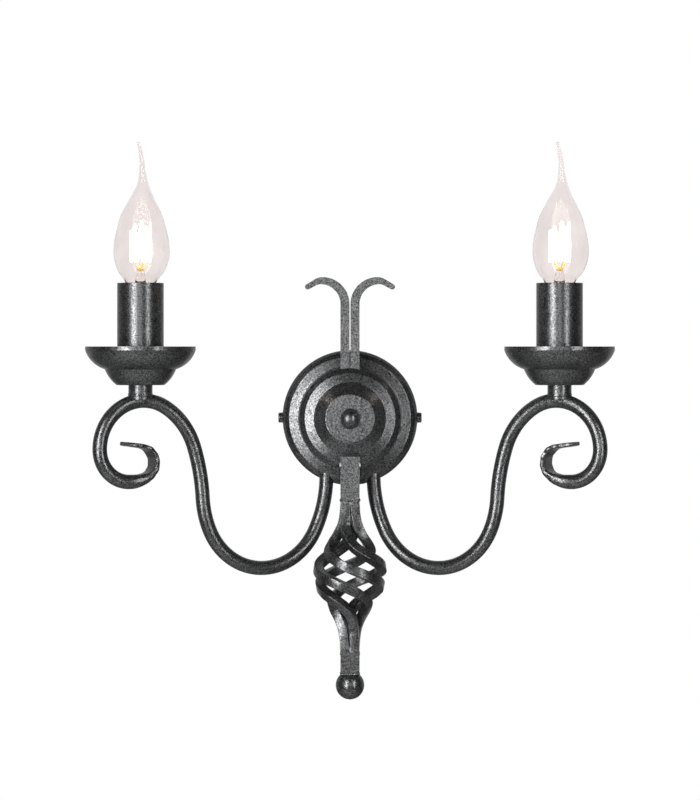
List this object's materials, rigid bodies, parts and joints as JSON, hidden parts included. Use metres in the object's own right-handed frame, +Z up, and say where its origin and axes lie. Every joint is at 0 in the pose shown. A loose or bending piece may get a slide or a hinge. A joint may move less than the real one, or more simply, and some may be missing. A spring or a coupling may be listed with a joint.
{
  "type": "torch sconce",
  "caption": "Wall light in wrought-iron style: twisted basket spine under a round canopy, scroll arms with drip cups, candle sleeves and flame-tip bulbs.",
  "frame": {"origin": "centre of the round canopy on the wall plane, which is the back face of the wall bracket", "axes": "+Z up, +Y into the wall, the front looks along -Y, left in a name is -X"},
  "size_m": [0.33, 0.109, 0.353],
  "materials": {
    "black_iron": "black powder coat with a fine silver grain",
    "zinc_steel": "zinc plated",
    "brass": "bright",
    "nickel": "nickel plated",
    "solder": "dull solder",
    "clear_glass": "clear, lit",
    "stem_glass": "clear",
    "filament": "glowing warm",
    "holder_plastic": "moulded, matt",
    "lead_sheath": "heat-proof sheath",
    "terminal_nylon": "moulded"
  },
  "bodies": {
    "fixture": {"canopy": "black_iron", "basket_neck": "black_iron", "basket_foot": "black_iron", "basket_ball": "black_iron", "fork_bar_left": "black_iron", "fork_bar_right": "black_iron", "basket_strand_1": "black_iron", "basket_strand_2": "black_iron", "basket_strand_3": "black_iron", "basket_strand_4": "black_iron", "arm_left": "black_iron", "arm_right": "black_iron", "arm_socket_left": "black_iron", "arm_socket_right": "black_iron", "drip_cup_left": "black_iron", "drip_cup_right": "black_iron", "wall_bracket": "zinc_steel", "back_plate": "zinc_steel", "spine_spacer": "zinc_steel", "finial_stud": "zinc_steel", "nipple_left": "zinc_steel", "nipple_right": "zinc_steel", "cup_nut_left": "zinc_steel", "cup_nut_right": "zinc_steel", "earth_screw": "brass", "terminal_screws": "brass", "socket_shell_left": "brass", "socket_contact_left": "brass", "lampholder_left": "holder_plastic", "lead_left": "lead_sheath", "socket_shell_right": "brass", "socket_contact_right": "brass", "lampholder_right": "holder_plastic", "lead_right": "lead_sheath", "terminal_block": "terminal_nylon"},
    "bulb_thread_left": {"bulb_contact_left": "solder"},
    "bulb_left": {"bulb_cap_left": "nickel", "bulb_glass_left": "clear_glass", "bulb_stem_left": "stem_glass", "bulb_filament_left": "filament"},
    "sleeve_left": {"candle_sleeve_left": "black_iron"},
    "side_screw_thread_left": {"screw_washer_left": "black_iron"},
    "side_screw_left": {"canopy_screw_left": "black_iron"},
    "bulb_thread_right": {"bulb_contact_right": "solder"},
    "bulb_right": {"bulb_cap_right": "nickel", "bulb_glass_right": "clear_glass", "bulb_stem_right": "stem_glass", "bulb_filament_right": "filament"},
    "sleeve_right": {"candle_sleeve_right": "black_iron"},
    "side_screw_thread_right": {"screw_washer_right": "black_iron"},
    "side_screw_right": {"canopy_screw_right": "black_iron"},
    "finial_thread": {"finial_washer": "black_iron"},
    "finial": {"finial_ball": "black_iron"}
  },
  "joints": [
    {"name": "bulb_lift_left", "type": "slide", "parent": "fixture", "child": "bulb_thread_left", "axis": [0, 0, 1], "range_m": [0, 0.0085]},
    {"name": "bulb_turn_left", "type": "hinge", "parent": "bulb_thread_left", "child": "bulb_left", "pos_m": [-0.13064, -0.07465, 0.0745], "axis": [0, 0, 1], "range_deg": [0, 1080]},
    {"name": "sleeve_lift_left", "type": "slide", "parent": "fixture", "child": "sleeve_left", "axis": [0, 0, 1], "range_m": [0, 0.004]},
    {"name": "side_screw_travel_left", "type": "slide", "parent": "fixture", "child": "side_screw_thread_left", "axis": [-1, 0, 0], "range_m": [0, 0.0049]},
    {"name": "side_screw_turn_left", "type": "hinge", "parent": "side_screw_thread_left", "child": "side_screw_left", "pos_m": [-0.0451, -0.0045, 0], "axis": [-1, 0, 0], "range_deg": [0, 2521]},
    {"name": "bulb_lift_right", "type": "slide", "parent": "fixture", "child": "bulb_thread_right", "axis": [0, 0, 1], "range_m": [0, 0.0085]},
    {"name": "bulb_turn_right", "type": "hinge", "parent": "bulb_thread_right", "child": "bulb_right", "pos_m": [0.13064, -0.07465, 0.0745], "axis": [0, 0, 1], "range_deg": [0, 1080]},
    {"name": "sleeve_lift_right", "type": "slide", "parent": "fixture", "child": "sleeve_right", "axis": [0, 0, 1], "range_m": [0, 0.004]},
    {"name": "side_screw_travel_right", "type": "slide", "parent": "fixture", "child": "side_screw_thread_right", "axis": [1, 0, 0], "range_m": [0, 0.0049]},
    {"name": "side_screw_turn_right", "type": "hinge", "parent": "side_screw_thread_right", "child": "side_screw_right", "pos_m": [0.0451, -0.0045, 0], "axis": [1, 0, 0], "range_deg": [0, 2521]},
    {"name": "finial_travel", "type": "slide", "parent": "fixture", "child": "finial_thread", "axis": [0, -1, 0], "range_m": [0, 0.0071]},
    {"name": "finial_turn", "type": "hinge", "parent": "finial_thread", "child": "finial", "pos_m": [0, -0.0434, 0], "axis": [0, -1, 0], "range_deg": [0, 2520]}
  ],
  "couplings": [
    {"joint": "bulb_lift_left", "follows": "bulb_turn_left", "m_per_rad": 0.00044913},
    {"joint": "side_screw_turn_left", "follows": "side_screw_travel_left", "rad_per_m": 8976},
    {"joint": "bulb_lift_right", "follows": "bulb_turn_right", "m_per_rad": 0.00044913},
    {"joint": "side_screw_turn_right", "follows": "side_screw_travel_right", "rad_per_m": 8976},
    {"joint": "finial_travel", "follows": "finial_turn", "m_per_rad": 0.00015915}
  ]
}
